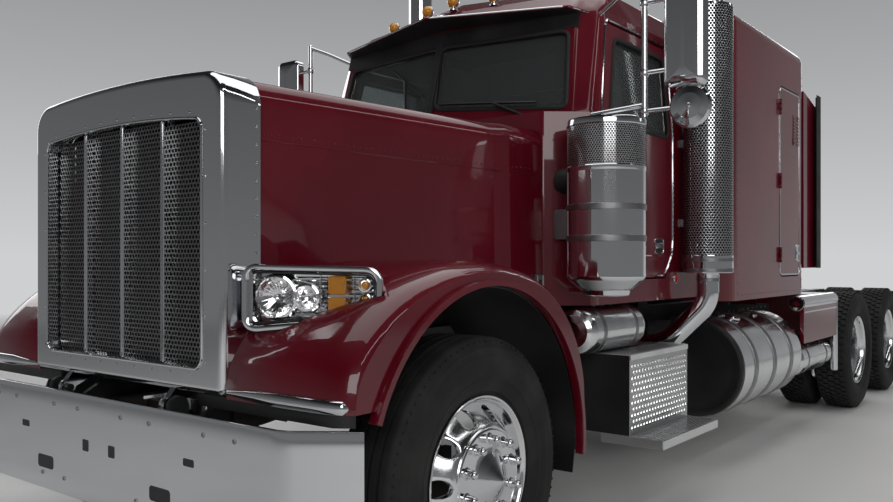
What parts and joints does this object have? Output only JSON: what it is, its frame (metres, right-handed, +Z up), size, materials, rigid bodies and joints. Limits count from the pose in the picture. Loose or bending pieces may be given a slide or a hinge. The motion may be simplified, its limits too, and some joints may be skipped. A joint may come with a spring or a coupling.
{
  "type": "semi truck tractor unit",
  "caption": "Long-hood road tractor with a separate sleeper, tilting hood, opening doors, steered front wheels, twin drive axles and a fifth wheel.",
  "frame": {"origin": "on the ground, at the centre of the footprint", "axes": "+X forward, +Y to the truck's left, +Z up"},
  "size_m": [8.55, 3.0258, 3.8553],
  "materials": {
    "body_paint": "gloss",
    "bright": "polished",
    "polished_alloy": "polished",
    "alloy": "satin",
    "chassis": "satin",
    "running_gear": "matte",
    "tyre": "matte",
    "glass": "clear",
    "lamp_cover": "clear",
    "amber": "gloss",
    "screen": "satin",
    "rubber": "matte",
    "trim": "matte",
    "cloth": "matte"
  },
  "bodies": {
    "root": {"frame": "chassis", "bumper": "bright", "front_axle": "running_gear", "powertrain": "running_gear", "radiator": "running_gear", "drive_axles": "running_gear", "cab_shell": "body_paint", "windshield": "glass", "sleeper_shell": "body_paint", "side_extenders": "body_paint", "air_cleaners": "bright", "exhaust_stacks": "bright", "fuel_tanks": "polished_alloy", "step_boxes": "alloy", "air_tanks": "polished_alloy", "sun_visor": "body_paint", "roof_lamps": "amber", "mirrors": "bright", "rear_fenders": "body_paint", "fifth_wheel_base": "chassis", "mud_flaps": "rubber", "deck_plate": "alloy", "seats": "cloth", "dash": "trim", "bunk": "cloth"},
    "hood": {"hood_shell": "body_paint", "fenders": "body_paint", "grille_crown": "bright", "grille_screens": "screen", "headlamp_pods": "bright", "headlamp_lenses": "lamp_cover"},
    "cab_door_left": {"door_left": "body_paint", "door_glass_left": "glass"},
    "cab_door_right": {"door_right": "body_paint", "door_glass_right": "glass"},
    "bunk_door_left": {"sleeper_door_left": "body_paint"},
    "bunk_door_right": {"sleeper_door_right": "body_paint"},
    "knuckle_left": {"knuckle_left": "running_gear"},
    "knuckle_right": {"knuckle_right": "running_gear"},
    "tie_rod": {"tie_rod": "running_gear"},
    "front_wheel_left": {"rim_front_left": "polished_alloy", "tyre_front_left": "tyre"},
    "front_wheel_right": {"rim_front_right": "polished_alloy", "tyre_front_right": "tyre"},
    "fifth_wheel": {"fifth_wheel_plate": "running_gear"},
    "steering_wheel": {"steering_wheel": "trim"},
    "drive_wheels1_left": {"rims_drive1_left": "polished_alloy", "tyres_drive1_left": "tyre"},
    "drive_wheels1_right": {"rims_drive1_right": "polished_alloy", "tyres_drive1_right": "tyre"},
    "drive_wheels2_left": {"rims_drive2_left": "polished_alloy", "tyres_drive2_left": "tyre"},
    "drive_wheels2_right": {"rims_drive2_right": "polished_alloy", "tyres_drive2_right": "tyre"}
  },
  "joints": [
    {"name": "hood_tilt", "type": "hinge", "parent": "root", "child": "hood", "pos_m": [4.205, 0, 0.8], "axis": [0, 1, 0], "range_deg": [0, 60]},
    {"name": "cab_door_left_swing", "type": "hinge", "parent": "root", "child": "cab_door_left", "pos_m": [2.1355, 0.963, 1.6], "axis": [0, 0, -1], "range_deg": [0, 70]},
    {"name": "cab_door_right_swing", "type": "hinge", "parent": "root", "child": "cab_door_right", "pos_m": [2.1355, -0.963, 1.6], "axis": [0, 0, 1], "range_deg": [0, 70]},
    {"name": "bunk_door_left_swing", "type": "hinge", "parent": "root", "child": "bunk_door_left", "pos_m": [-0.3445, 1.093, 1.885], "axis": [0, 0, -1], "range_deg": [0, 85]},
    {"name": "bunk_door_right_swing", "type": "hinge", "parent": "root", "child": "bunk_door_right", "pos_m": [-0.3445, -1.093, 1.885], "axis": [0, 0, 1], "range_deg": [0, 85]},
    {"name": "steer_left", "type": "hinge", "parent": "root", "child": "knuckle_left", "pos_m": [3.425, 0.88, 0.515], "axis": [0, 0, 1], "range_deg": [-35, 35]},
    {"name": "steer_right", "type": "hinge", "parent": "root", "child": "knuckle_right", "pos_m": [3.425, -0.88, 0.515], "axis": [0, 0, 1], "range_deg": [-35, 35]},
    {"name": "tie_rod_swing", "type": "hinge", "parent": "knuckle_left", "child": "tie_rod", "pos_m": [3.205, 0.88, 0.365], "axis": [0, 0, 1], "range_deg": [-35, 35]},
    {"name": "front_wheel_left_spin", "type": "hinge", "parent": "knuckle_left", "child": "front_wheel_left", "pos_m": [3.425, 1.028, 0.515], "axis": [0, 1, 0], "continuous": true},
    {"name": "front_wheel_right_spin", "type": "hinge", "parent": "knuckle_right", "child": "front_wheel_right", "pos_m": [3.425, -1.028, 0.515], "axis": [0, 1, 0], "continuous": true},
    {"name": "drive_wheels1_left_spin", "type": "hinge", "parent": "root", "child": "drive_wheels1_left", "pos_m": [-2.247, 0.9115, 0.515], "axis": [0, 1, 0], "continuous": true},
    {"name": "drive_wheels1_right_spin", "type": "hinge", "parent": "root", "child": "drive_wheels1_right", "pos_m": [-2.247, -0.9115, 0.515], "axis": [0, 1, 0], "continuous": true},
    {"name": "drive_wheels2_left_spin", "type": "hinge", "parent": "root", "child": "drive_wheels2_left", "pos_m": [-3.567, 0.9115, 0.515], "axis": [0, 1, 0], "continuous": true},
    {"name": "drive_wheels2_right_spin", "type": "hinge", "parent": "root", "child": "drive_wheels2_right", "pos_m": [-3.567, -0.9115, 0.515], "axis": [0, 1, 0], "continuous": true},
    {"name": "fifth_wheel_tilt", "type": "hinge", "parent": "root", "child": "fifth_wheel", "pos_m": [-2.757, 0, 1.12], "axis": [0, 1, 0], "range_deg": [-12, 12]},
    {"name": "steering_wheel_turn", "type": "hinge", "parent": "root", "child": "steering_wheel", "pos_m": [1.76, 0.48, 1.915], "axis": [-0.8235, 0, 0.5673], "range_deg": [-640, 640]}
  ],
  "couplings": [
    {"joint": "steer_right", "follows": "steer_left", "ratio": 1},
    {"joint": "tie_rod_swing", "follows": "steer_left", "ratio": -1},
    {"joint": "steering_wheel_turn", "follows": "steer_left", "ratio": 18}
  ]
}
